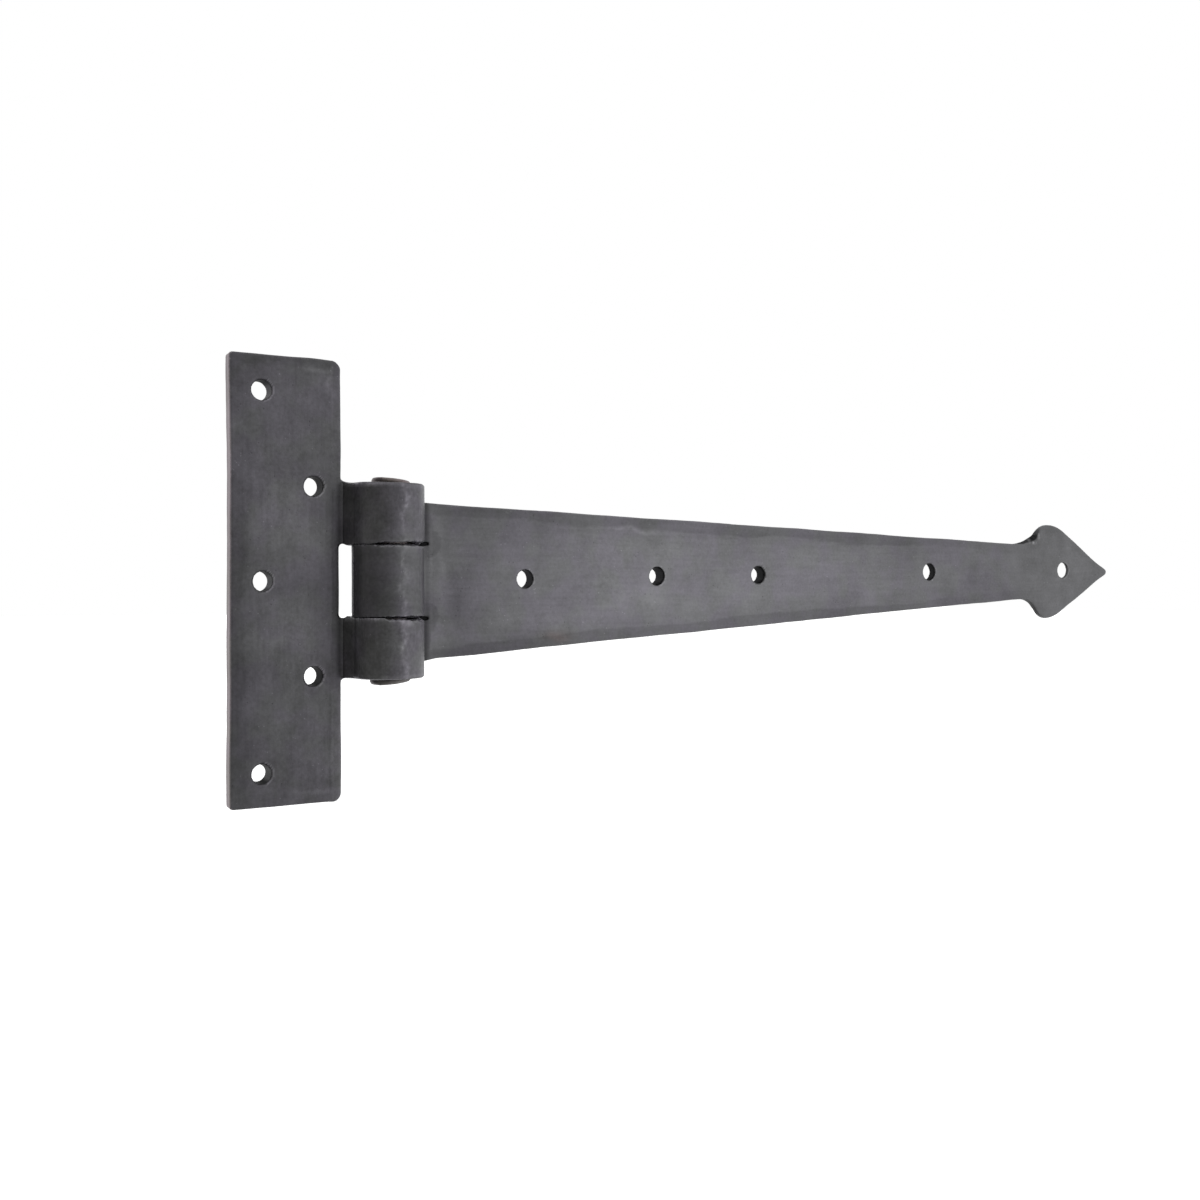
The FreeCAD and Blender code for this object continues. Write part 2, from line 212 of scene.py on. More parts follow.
def copy_of_node(node, name):
    """A new object with the node's mesh, its vertices joined and its own shading dropped."""
    mesh = bpy.data.meshes.new(name)
    work = bmesh.new()
    work.from_mesh(frame["nodes"][node].data)
    bmesh.ops.remove_doubles(work, verts=work.verts, dist=0.002 * MM)
    work.to_mesh(mesh)
    work.free()
    piece = bpy.data.objects.new(name, mesh)
    bpy.context.scene.collection.objects.link(piece)
    return piece


def surface_of(piece):
    """The piece's surface, in millimetres, to find nearest points on."""
    corners = [vertex.co / MM for vertex in piece.data.vertices]
    faces = [tuple(face.vertices) for face in piece.data.polygons]
    return bvhtree.BVHTree.FromPolygons(corners, faces)


def sharp_edge_points(piece, holes):
    """Points, in millimetres, where the mesh turns sharply, apart from the holes' rims."""
    work = bmesh.new()
    work.from_mesh(piece.data)
    least_angle = math.radians(SHARP_EDGE_DEG)
    points = []
    for edge in work.edges:
        if len(edge.link_faces) != 2 or edge.calc_face_angle() < least_angle:
            continue
        start, end = (vertex.co / MM for vertex in edge.verts)
        if any(math.hypot(start.x - x, start.z - z) < HOLE_RADIUS + 0.3 for x, z, *_ in holes):
            continue
        steps = max(1, int((end - start).length / RIM_POINT_SPACING))
        points += [start.lerp(end, (step + 0.5) / steps) for step in range(steps)]
    work.free()
    return points


def nearest_distances(places, points, far):
    """Distance from each place to the nearest of the points, in millimetres, at most far."""
    tree = kdtree.KDTree(len(points))
    for index, point in enumerate(points):
        tree.insert(point, index)
    tree.balance()
    return np.array([min(tree.find(place)[2], far) for place in places])


def rim_distances(places, rims):
    """Distance to the nearest sharp edge, on a leaf's flat as seen from the front."""
    far = 30.0
    distances = nearest_distances(places, rims, far)
    outline = [Vector((rim.x, 0.0, rim.z)) for rim in rims if -rim.y < LEAF_THICKNESS + 0.2]
    on_flat = np.nonzero(-places[:, 1] < LEAF_THICKNESS + 0.6)[0]
    if outline:
        level = places[on_flat] * np.array((1.0, 0.0, 1.0))
        to_outline = nearest_distances(level, outline, far)
        distances[on_flat] = np.minimum(distances[on_flat], to_outline)
    return distances


def voxel_mesh(piece, voxel):
    """Replaces the piece's mesh with an even one of small squares, which softens its edges."""
    remesh = piece.modifiers.new("even", "REMESH")
    remesh.mode = "VOXEL"
    remesh.voxel_size = voxel * MM
    evaluated = piece.evaluated_get(bpy.context.evaluated_depsgraph_get())
    mesh = bpy.data.meshes.new_from_object(evaluated)
    piece.modifiers.clear()
    old = piece.data
    piece.data = mesh
    bpy.data.meshes.remove(old)
    mesh.name = piece.name


def coordinates(mesh):
    flat = np.empty(len(mesh.vertices) * 3)
    mesh.vertices.foreach_get("co", flat)
    return flat.reshape(-1, 3) / MM


def set_coordinates(mesh, places):
    mesh.vertices.foreach_set("co", (places * MM).ravel())
    mesh.update()


def normals(mesh):
    flat = np.empty(len(mesh.vertices) * 3)
    mesh.vertex_normals.foreach_get("vector", flat)
    return flat.reshape(-1, 3)


def smoothed(mesh, places, rounds, share):
    """Places moved towards the mean of their neighbours a few times."""
    ends = np.empty(len(mesh.edges) * 2, dtype=np.int64)
    mesh.edges.foreach_get("vertices", ends)
    first, second = ends.reshape(-1, 2).T
    count = len(places)
    degree = np.bincount(first, minlength=count) + np.bincount(second, minlength=count)
    for _ in range(rounds):
        total = np.empty_like(places)
        for axis in range(3):
            total[:, axis] = np.bincount(first, places[second, axis], count)
            total[:, axis] += np.bincount(second, places[first, axis], count)
        places = places + share * (total / degree[:, None] - places)
    return places


def round_up(places, facing, centre, radius, outward):
    """Sets the places that lie on a round face about an upright axis exactly on it.

    outward is 1 where the face looks away from the axis, and -1 where it looks towards it.
    """
    from_axis = places[:, :2] - np.array(centre)
    distance = np.linalg.norm(from_axis, axis=1)
    radial = from_axis / np.maximum(distance, 1e-9)[:, None]
    along = (radial * facing[:, :2]).sum(1) * outward
    on_face = (np.abs(distance - radius) < ROUND_FACE_REACH) & (along > 0.9)
    places[on_face, :2] = np.array(centre) + radial[on_face] * radius
    return places


def field(places, size, seed):
    """Smooth unevenness of the given grain size, from about -1 to 1, at each place."""
    shift = Vector((seed * 17.3, seed * 5.1, seed * 11.7))
    return np.array([noise.noise(Vector(place) / size + shift) for place in places])


def ease(values, low, high):
    """0 up to low and 1 from high, with a soft step between."""
    share = np.clip((values - low) / (high - low), 0.0, 1.0)
    return share * share * (3.0 - 2.0 * share)


def add_attribute(mesh, name, values):
    attribute = mesh.attributes.new(name, "FLOAT", "POINT")
    attribute.data.foreach_set("value", values.astype(np.float32))


def pin_distance(places):
    return np.hypot(places[:, 0] - PIN_X, places[:, 1] - PIN_Y)


def from_gap(places):
    """How far each place is above or below the middle of the gap that is nearest to it."""
    return np.abs(np.abs(places[:, 2]) - GAP_MIDDLE)


def over_flat(places, above, height):
    """0 up to the given distance above a leaf's flat front and 1 the given height further out."""
    return ease(-places[:, 1], LEAF_THICKNESS + above, LEAF_THICKNESS + above + height)


def gap_shift(places, seed, opening, closing, chip):
    """How far the knuckles' ends at the gaps go up or down.

    They are hollowed towards the pin. At the front right the gap is opened and chipped, and
    elsewhere it is closed unevenly, each by the given amount.
    """
    near = (1.0 - ease(from_gap(places), 0.45, 2.0)) * over_flat(places, 0.0, 1.5)
    where = np.nonzero(near > 0.0)[0]
    found = places[where]
    from_pin = pin_distance(found)
    up = np.sign(found[:, 2])
    away = np.sign(np.abs(found[:, 2]) - GAP_MIDDLE) * up
    hollow = 0.42 * up * (1.0 - ease(from_pin, 5.8, 9.0))

    begins = np.where(found[:, 2] > 0.0, PIN_X - 6.8, PIN_X - 4.8)
    front_right = ease(found[:, 0] - begins, 0.0, 1.6) * ease(-found[:, 1], 8.0, 10.0)
    ragged = field(found, 1.3, seed) + 0.6 * field(found, 0.7, seed + 2)
    wider = opening * (1.0 + ease(found[:, 0], PIN_X + 1.0, PIN_X + 3.0))
    chips = ease(from_pin, 7.2, 8.8) * front_right * (chip * ragged + wider * away)

    bevel = np.clip(from_pin - KNUCKLE_RADIUS + GAP_BEVEL, 0.0, GAP_BEVEL)
    right_of_flank = ease(found[:, 0], PIN_X - 8.0, PIN_X - 6.5)
    uneven = 0.3 * chip * (field(found, 1.3, seed + 1) - 0.5) * right_of_flank
    closed = (1.0 - front_right) * (closing + 0.8 * bevel + uneven) * away

    shift = np.zeros(len(places))
    shift[where] = near[where] * (hollow + chips - closed)
    return shift


def tightened(places, holes):
    """How the places around the screw holes move towards each hole's middle."""
    moves = np.zeros_like(places)
    for x, z, in_front, at_back, _ in holes:
        away = places[:, [0, 2]] - np.array((x, z))
        distance = np.linalg.norm(away, axis=1)
        share = 1.0 - ease(distance, HOLE_RADIUS + 0.15, HOLE_RADIUS + 1.3)
        depth = np.clip(-places[:, 1] / LEAF_THICKNESS, 0.0, 1.0)
        amount = share * (at_back + (in_front - at_back) * depth)
        moves[:, [0, 2]] -= away * (amount / np.maximum(distance, 1.0))[:, None]
    return moves


def creased(places):
    """Turns the soft bend in front of the plate's knuckles into a crease with a steep flank."""
    start = np.array((11.5, -LEAF_THICKNESS))
    crease = np.array((14.6, -LEAF_THICKNESS))
    top = np.array((16.4, -8.9))
    bend = np.array((PIN_X - KNUCKLE_RADIUS - BEND_RADIUS, -LEAF_THICKNESS - BEND_RADIUS))
    flat = places[:, :2]
    off_bend = np.abs(np.linalg.norm(flat - bend, axis=1) - BEND_RADIUS)
    inside = (flat[:, 0] > bend[0] - 0.5) & (flat[:, 0] < top[0] + 0.1) & (flat[:, 1] > top[1])
    share = inside * (1.0 - ease(off_bend, 0.12, 0.4))
    nearest = np.zeros_like(flat)
    least = np.full(len(flat), np.inf)
    for first, second in ((start, crease), (crease, top)):
        along = second - first
        part = np.clip((flat - first) @ along / (along @ along), 0.0, 1.0)
        point = first + part[:, None] * along
        distance = np.linalg.norm(flat - point, axis=1)
        closer = distance < least
        nearest[closer] = point[closer]
        least = np.minimum(least, distance)
    moves = np.zeros_like(places)
    moves[:, :2] = (nearest - flat) * share[:, None]
    return moves


def pushed(places, pushes):
    """How far the places move along x and z, each push fading softly from its middle."""
    moves = np.zeros_like(places)
    for x, z, reach_x, reach_z, move_x, move_z in pushes:
        near = spots(places, ((x, z, reach_x, reach_z, 1.0),))
        moves[:, 0] += move_x * near
        moves[:, 2] += move_z * near
    return moves


def painted_hole_shade(places, facing, holes):
    """How light the screw holes' walls and rims are, as a share of the steel around them.

    Painted shade darkens the walls, most at their bottom and top and most of all in the plate's
    left row, and a painted highlight lights the right-hand side of each rim.
    """
    shade = np.ones(len(places))
    for x, z, _, _, wall_shade in holes:
        away = places[:, [0, 2]] - np.array((x, z))
        distance = np.linalg.norm(away, axis=1)
        inward = -(away * facing[:, [0, 2]]).sum(1) / np.maximum(distance, 1e-6)
        near = distance < HOLE_RADIUS + 0.9
        # Painted shade on the holes' walls
        shaded_walls = near * ease(inward, 0.35, 0.75)
        shade *= 1.0 - wall_shade * shaded_walls
        # Painted highlight on the right-hand side of each rim
        turned = ease(inward, 0.08, 0.25) * (1.0 - ease(inward, 0.5, 0.85))
        wear_and_highlight = 1.1 if x < PIN_X else 0.6
        shade *= 1.0 + wear_and_highlight * near * turned * ease(-facing[:, 0], 0.0, 0.2)
        # More painted shade at the walls' bottom and top
        bottom, top = (0.75, 0.6) if x < 0.0 else (0.5, 0.2)
        shade *= 1.0 - bottom * shaded_walls * ease(facing[:, 2], 0.45, 0.95)
        shade *= 1.0 - top * shaded_walls * ease(-facing[:, 2], 0.3, 0.9)
    return shade


def wandered(places, seed):
    """The places moved about a little, so that what is drawn by them gets uneven borders."""
    moved = places.copy()
    moved[:, 0] += 1.6 * field(places, 7.0, seed)
    moved[:, 2] += 1.2 * field(places, 4.5, seed + 1)
    return moved


def spots(places, marks):
    """Sum of soft spots, each 1 times its strength in its middle."""
    total = np.zeros(len(places))
    for x, z, reach_x, reach_z, strength in marks:
        far = ((places[:, 0] - x) / reach_x) ** 2 + ((places[:, 2] - z) / reach_z) ** 2
        total += strength * np.exp(-far)
    return total


def worn_crown(places, seed):
    """Where the knuckles' fronts are rubbed: a fine wandering line in a patchy streak."""
    wander = 1.8 * field(places, 5.0, seed) + 0.7 * field(places, 1.6, seed + 2)
    off_line = places[:, 0] - PIN_X - 0.3 - wander
    line = np.exp(-(off_line / 0.55) ** 2)
    streak = np.exp(-(off_line / 1.7) ** 2)
    whole = ease(field(places, 2.8, seed + 1), -0.6, 0.1)
    flecks = ease(field(places, 0.8, seed + 3), -0.1, 0.4)
    wear_and_highlight = line * (0.2 + 0.7 * whole) * (0.5 + 0.5 * flecks)
    wear_and_highlight += streak * (0.04 + 0.3 * flecks * whole)
    return wear_and_highlight * (places[:, 1] < PIN_Y - 0.8 * KNUCKLE_RADIUS)


def shaded_side(places, facing):
    """1 on the side of the knuckles that faces the plate, fading towards their front."""
    turned = ease(facing[:, 1], -0.75, -0.05) * (facing[:, 0] < 0.0)
    return turned * ease(-places[:, 1], 8.2, 9.8)


def gap_wall_glints(places, facing):
    """1 on the knuckles' ends where the gaps are open, in flecks, where painted glints go."""
    open_part = ease(places[:, 0], PIN_X - 4.5, PIN_X - 2.5) * ease(-places[:, 1], 7.0, 9.0)
    level = ease(np.abs(facing[:, 2]), 0.6, 0.9)
    flecks = ease(field(places, 0.9, 3), -0.4, 0.4)
    return (from_gap(places) < 1.2) * open_part * level * flecks


def leaf_shape(places, seed):
    """The fixed leaf's own small departures from its solid.

    It has a burr beside the lower gap, and its left side leans, so that its front is wider.
    """
    moves = pushed(places, PLATE_PUSHES) + tightened(places, PLATE_HOLES) + creased(places)
    burr = np.linalg.norm(places - np.array((15.3, -6.5, -SLOT_END)), axis=1)
    moves[:, 2] += gap_shift(places, seed, 0.18, 0.32, 0.28) + 0.5 * np.exp(-(burr / 0.7) ** 2)
    leaning = ease(-places[:, 0], 12.6, 14.0) * ease(-places[:, 1], 0.8, LEAF_THICKNESS)
    moves[:, 0] -= 0.45 * leaning
    return moves


def leaf_knuckle_tone(tone, places, facing, rim, seed):
    """The tone with the looks of the fixed leaf's knuckles and of the flank that leads to them,
    with painted light and shade on both.
    """
    upper = places[:, 2] > 0.0
    depth = -places[:, 1]
    on_knuckle = over_flat(places, 1.0, 3.0)
    speckle = 0.14 * field(places, 0.9, seed + 7)
    tone += on_knuckle * (0.75 * worn_crown(places, seed + 2) + speckle)
    tone *= 1.0 + 0.08 * on_knuckle * (1.0 - upper)
    # Painted light on the knuckles' shaded side towards the plate, and on their right-facing round
    side = shaded_side(places, facing)
    tone *= 1.0 + np.where(upper, 0.95 * side, 1.7 * side ** 2 * ease(depth, 8.2, 10.7))
    tone *= 1.0 + 0.75 * on_knuckle * ease(facing[:, 0], 0.45, 0.85)

    # Painted light on the flank, a painted highlight on the fold where it meets the round of the
    # knuckle, and painted shade just past it
    flank = ease(-facing[:, 0], 0.46, 0.53) * (1.0 - ease(depth, 8.8, 9.8))
    flank *= over_flat(places, 0.1, 0.3)
    farther = ease(depth, 5.2, 8.2)
    foot = 1.0 - ease(depth, 5.1, 5.9)
    above = 0.16 + 0.20 * foot - 0.08 * farther
    below = 0.46 + 0.35 * foot - 0.10 * farther
    tone *= 1.0 + flank * np.where(upper, above, below)
    fold_highlight = np.exp(-((depth - 8.75) / 0.35) ** 2) * (places[:, 0] < PIN_X)
    past_fold_shade = np.exp(-((depth - 10.4) / 0.5) ** 2) * (places[:, 0] < PIN_X)
    tone *= 1.0 + np.where(upper, 0.08 * fold_highlight, 0.22 * fold_highlight - 0.08 * past_fold_shade)

    # Painted highlights along the knuckles' ends and gaps
    patchy = 0.7 + 0.5 * field(places, 2.5, seed + 4)
    left = 1.0 - ease(places[:, 0], 18.0, 22.0)
    from_end = GROUP_END - np.abs(places[:, 2])
    end_highlight = np.exp(-((from_end - 0.75) / 0.4) ** 2) * np.where(upper, 0.25 + 1.4 * left, 0.5)
    gap_highlight = np.exp(-(rim / 0.5) ** 2) * (0.3 + left * np.where(upper, 0.0, 2.0))
    off_ends = 1.0 - 0.7 * ease(np.abs(facing[:, 2]), 0.5, 0.8)
    tone *= 1.0 + over_flat(places, 0.3, 1.2) * patchy * (end_highlight + gap_highlight) * off_ends
    # Painted shade on the upper knuckle where it faces up
    tone *= 1.0 - 0.5 * upper * on_knuckle * ease(facing[:, 2], 0.4, 0.8)
    # A light spot on the lower knuckle's front, just below the lower gap
    tone += 0.8 * on_knuckle * spots(places, ((27.2, -10.7, 1.0, 0.9, 1.0),))
    return tone


def leaf_looks(places, facing, rim, seed):
    """How light, with painted light and shade, how edged and how brown the fixed leaf is at each
    place.
    """
    front = ease(-facing[:, 1], 0.3, 0.7)
    tone = 1.0 + front * spots(wandered(places, seed), PLATE_MARKS)
    tone *= 1.0 + 0.10 * field(places, 3.5, seed + 8)
    tone = leaf_knuckle_tone(tone, places, facing, rim, seed)

    # Painted shade on the flat beside the knuckles, deepest along the crease
    height = np.abs(places[:, 2])
    within = 1.0 - ease(height, GROUP_END - 1.0, GROUP_END + 0.5)
    shade_beside = ease(places[:, 0], 12.0, 14.4) * within
    deeper = 0.25 + 0.20 * (1.0 - ease(places[:, 2], 14.0, 19.0))
    tone *= 1.0 - shade_beside * deeper * (1.0 - over_flat(places, 0.3, 1.2))
    by_crease = ease(places[:, 0], 13.2, 14.1) * (1.0 - ease(-facing[:, 0], 0.44, 0.5))
    by_crease *= (-places[:, 1] < LEAF_THICKNESS + 0.6) * ease(height, 9.0, 10.0)
    tone *= 1.0 - 0.28 * shade_beside * by_crease
    # Painted glints on the knuckles' ends in the open gaps
    tone *= 1.0 + 1.5 * gap_wall_glints(places, facing)

    # Painted light on the plate's left side, and a painted highlight along its front-left edge
    left_side = ease(-facing[:, 0], 0.25, 0.65) * ease(-places[:, 0], 12.5, 13.8)
    edge = 4.0 * (facing[:, 0] * facing[:, 1]) ** 2 * ease(-places[:, 0], 13.0, 13.8)
    tone += 1.3 * left_side + 0.6 * edge
    off_knuckle = 1.0 - over_flat(places, 1.0, 3.0)
    band = off_knuckle * (0.25 + 0.4 * ease(-places[:, 0], 2.0, 12.0))
    return {"tone": tone, "band": band, "brown": left_side}


def strap_shape(places, seed):
    """The strap's own small departures from its solid.

    Its root corners flare, its shoulders are cut aslant and its spear thins towards the point.
    """
    in_front = ease(-places[:, 1], 0.4, 2.0)
    moves = pushed(places, STRAP_PUSHES) + tightened(places, STRAP_HOLES)
    moves[:, 2] += gap_shift(places, seed, 0.10, 0.07, 0.12)
    root = 1.0 - ease(places[:, 0], PIN_X + 10.0, PIN_X + 17.0)
    flare = 0.15 * ease(places[:, 2], 12.0, 21.0) - 0.65 * ease(-places[:, 2], 12.0, 21.0)
    moves[:, 2] += root * flare
    lowered = ((275.4, 15.3, 3.2, 3.2, 1.5), (271.0, 13.6, 2.4, 1.6, 0.7))
    moves[:, 2] -= in_front * spots(places, lowered)
    outward = ((276.4, 15.6, 3.0, 3.4, 1.1), (275.5, -11.0, 3.0, 3.0, -0.35))
    moves[:, 0] += in_front * spots(places, outward)
    moves[:, 1] += 0.7 * in_front * ease(places[:, 0], 272.0, 292.0)
    moves[:, 0] -= 0.5 * ease(PIN_X - places[:, 0], 4.0, 9.0) * over_flat(places, 0.0, 3.0)
    return moves


def strap_looks(places, facing, rim, seed):
    """How light, with painted light and shade, how edged and how brown the strap is at each place.
    """
    front = ease(-facing[:, 1], 0.3, 0.7)
    height = np.abs(places[:, 2])
    # Painted light and shade along the strap's length, from the table
    from_x, light_levels = zip(*STRAP_LIGHT_ALONG_X)
    tone = np.interp(places[:, 0] + 3.0 * field(places, 16.0, seed), from_x, light_levels)
    tone *= 1.0 + front * spots(wandered(places, seed), STRAP_MARKS)
    ends = 1.0 - ease(places[:, 0], 60.0, 95.0) + ease(places[:, 0], 225.0, 250.0)
    tone *= 1.0 + 0.10 * ends * field(places, 5.0, seed + 8)

    on_knuckle = over_flat(places, 1.0, 3.0)
    # Wear on the knuckles' crowns, and a painted highlight along their rims
    tone += on_knuckle * (0.45 * worn_crown(places, seed + 2) + 0.13 * np.exp(-(rim / 0.6) ** 2))
    tone += 0.09 * on_knuckle * field(places, 0.9, seed + 7)
    # Painted light on the knuckles' shaded side towards the plate and on their far right round
    far_side_light = np.exp(-((facing[:, 0] - 0.70) / 0.10) ** 2) * ease(-places[:, 1], 11.0, 13.0)
    tone *= 1.0 + 0.8 * shaded_side(places, facing) + 0.42 * far_side_light
    # Painted glints on the knuckles' ends in the open gaps
    tone *= 1.0 + 1.5 * gap_wall_glints(places, facing)

    # The strap's root: painted shade on its edge under the knuckles, and in the notches beside its
    # own knuckle
    off_knuckle = 1.0 - on_knuckle
    in_notch = (np.abs(height - SLOT_END) < 0.45) * (1.0 - ease(places[:, 0], 39.0, 39.6))
    under = np.exp(-((places[:, 0] - 38.4) / 0.75) ** 2)
    shade_beside = np.where(height > SLOT_END, 0.55, 0.30)
    tone *= 1.0 - off_knuckle * np.maximum(shade_beside * under, 0.9 * in_notch)

    # Bare flecks on the spear's upper shoulder, and the painted shade of a small round dent
    # between two holes
    flecks = spots(places, ((275.0, 13.3, 1.6, 0.5, 1.0), (278.0, 15.9, 0.55, 1.9, 0.6)))
    tone *= 1.0 + 2.2 * flecks * ease(field(places, 0.9, seed + 5), -0.2, 0.3)
    from_dent = np.hypot(places[:, 0] - 94.7, places[:, 2] + 2.1)
    tone -= 0.16 * front * np.exp(-((from_dent - 1.3) / 0.35) ** 2)

    # Painted shade on the strap's thin sides, darkest at the spear's shoulders and in the notches
    shaded_walls = 1.0 - ease(np.abs(facing[:, 1]), 0.35, 0.75)
    shoulder = ease(places[:, 0], 264.0, 268.0) * (1.0 - ease(places[:, 0], 277.0, 281.0))
    shoulder *= np.where(places[:, 2] > 0.0, 1.15 + 0.25 * field(places, 0.9, seed + 9), 0.7)
    notch = (1.0 - ease(places[:, 0], 39.2, 39.8)) * (1.0 - ease(height, 10.2, 10.6))
    tone *= 1.0 - off_knuckle * shaded_walls * (0.25 + 0.5 * np.maximum(shoulder, notch))

    band = off_knuckle * (0.25 + 0.75 * (1.0 - ease(places[:, 0], 200.0, 262.0)))
    brown = front * spots(wandered(places, seed), ((79.0, -15.6, 4.5, 1.3, 1.0),))
    brown -= ease(places[:, 0], 258.0, 272.0)
    return {"tone": tone, "band": band, "brown": brown}


def pin_shape(places, _seed):
    """The pin's own small departures from its solid.

    Its lower end stands out more and slopes on the left, where the upper one is set in.
    """
    moves = np.zeros_like(places)
    moves[:, 2] = -0.22 * ease(-places[:, 2], 10.0, 24.0)
    on_left = ease(PIN_X - places[:, 0], 3.2, 4.7)
    moves[:, 2] += 0.35 * on_left * ease(-places[:, 2], GROUP_END, GROUP_END + 0.8)
    moves[:, 0] += 0.55 * on_left * ease(places[:, 2], GROUP_END - 0.1, GROUP_END + 0.3)
    return moves


def pin_looks(places, _facing, rim, _seed):
    """How light and how brown the pin is at each place. It has no edge band."""
    # A painted highlight along the pin's edges
    tone = 1.35 + 0.50 * np.exp(-(rim / 0.5) ** 2)
    # Painted light on the pin where it shows in the gaps
    in_gaps = 1.0 - ease(np.abs(places[:, 2]), MIDDLE_END + 1.5, MIDDLE_END + 2.5)
    tone *= 1.0 + 1.5 * in_gaps
    brown = 0.7 * ease(places[:, 2], -5.0, 15.0)
    return {"tone": tone, "band": np.zeros(len(places)), "brown": brown}


def evenly_meshed(piece, voxel):
    """Meshes the piece anew on its own surface, and gives its places and their normals."""
    surface = surface_of(piece)
    voxel_mesh(piece, voxel)
    mesh = piece.data
    places = smoothed(mesh, coordinates(mesh), 2, 0.5)
    places = np.array([surface.find_nearest(place)[0] for place in places])
    places = smoothed(mesh, places, 1, 0.3)
    set_coordinates(mesh, places)
    facing = normals(mesh)
    places = round_up(places, facing, (PIN_X, PIN_Y), KNUCKLE_RADIUS, 1.0)
    bend_depth = LEAF_THICKNESS + BEND_RADIUS
    bend_shift = KNUCKLE_RADIUS + BEND_RADIUS
    for side in (-1.0, 1.0):
        bend = (PIN_X + side * bend_shift, -bend_depth)
        places = round_up(places, facing, bend, BEND_RADIUS, -1.0)
        places = round_up(places, facing, bend, bend_depth, 1.0)
    return places, facing


def forged_piece(node, voxel, seed, holes, shape, looks):
    """A finely meshed stand-in for a forged node, uneven as hammered and filed steel is."""
    piece = copy_of_node(node, node + "_forged")
    rims = sharp_edge_points(piece, holes)
    places, facing = evenly_meshed(piece, voxel)
    rim = rim_distances(places, rims)

    swell = 0.09 * field(places, 13.0, seed) + 0.05 * field(places, 5.5, seed + 1)
    swell += 0.02 * field(places, 1.9, seed + 2)
    off_back = ease(-places[:, 1], 0.3, 2.5)
    off_gap = 0.2 + 0.8 * ease(from_gap(places), 0.6, 1.4)
    shares = np.stack([np.ones(len(places)), off_back, off_gap], axis=1)
    moved = places + facing * swell[:, None] * shares
    moved[:, 0] += 0.16 * field(places, 19.0, seed + 3)
    moved[:, 2] += 0.16 * field(places, 17.0, seed + 4)
    moved += shape(places, seed + 5)
    mesh = piece.data
    set_coordinates(mesh, moved)

    marks = looks(places, facing, rim, seed + 6)
    marks["tone"] *= painted_hole_shade(places, facing, holes)
    marks["rim"] = rim
    for name, values in marks.items():
        add_attribute(mesh, name, values)
    for polygon in mesh.polygons:
        polygon.use_smooth = True
    mesh.set_sharp_from_angle(angle=math.radians(SMOOTH_SHADING_DEG))
    return piece


# Materials

class Graph:
    """A material's or world's nodes, added and joined in few words."""

    def __init__(self, tree):
        self.tree = tree
        tree.nodes.clear()

    def add(self, kind, inputs=None, **settings):
        made = self.tree.nodes.new(kind)
        for name, value in settings.items():
            setattr(made, name, value)
        for name, value in (inputs or {}).items():
            self.join(value, made.inputs[name])
        return made

    def join(self, value, socket):
        if isinstance(value, bpy.types.NodeSocket):
            self.tree.links.new(value, socket)
        else:
            socket.default_value = value

    def math(self, operation, *values, clamp=False):
        made = self.add("ShaderNodeMath", operation=operation, use_clamp=clamp)
        for index, value in enumerate(values):
            self.join(value, made.inputs[index])
        return made.outputs[0]

    def ramp(self, value, low, high, start=0.0, end=1.0, smooth=True):
        """Maps value from low..high to start..end."""
        made = self.add("ShaderNodeMapRange", clamp=True)
        made.interpolation_type = "SMOOTHSTEP" if smooth else "LINEAR"
        for index, item in enumerate((value, low, high, start, end)):
            self.join(item, made.inputs[index])
        return made.outputs[0]

    def mix(self, share, first, second, blend="MIX"):
        made = self.add("ShaderNodeMix", data_type="RGBA", blend_type=blend)
        self.join(share, made.inputs[0])
        for value, socket in ((first, made.inputs[6]), (second, made.inputs[7])):
            self.join(value if isinstance(value, bpy.types.NodeSocket) else (*value, 1.0), socket)
        return made.outputs[2]

    def scaled(self, vector, scale):
        """The vector with its three parts multiplied."""
        made = self.add("ShaderNodeVectorMath", operation="MULTIPLY")
        self.join(vector, made.inputs[0])
        made.inputs[1].default_value = scale
        return made.outputs[0]

    def noise(self, vector, size_mm, detail=2.0, rough=0.5, stretch=(1.0, 1.0, 1.0)):
        """Cloudy noise from 0 to 1 whose blotches are about size_mm across."""
        scale = tuple(part / (size_mm * MM) for part in stretch)
        made = self.add("ShaderNodeTexNoise", {
            "Vector": self.scaled(vector, scale), "Scale": 1.0, "Detail": detail,
            "Roughness": rough})
        return made.outputs["Fac"]

    def grey(self, level):
        """The colour whose three parts are the given level."""
        made = self.add("ShaderNodeCombineColor", {"Red": level, "Green": level, "Blue": level})
        return made.outputs[0]


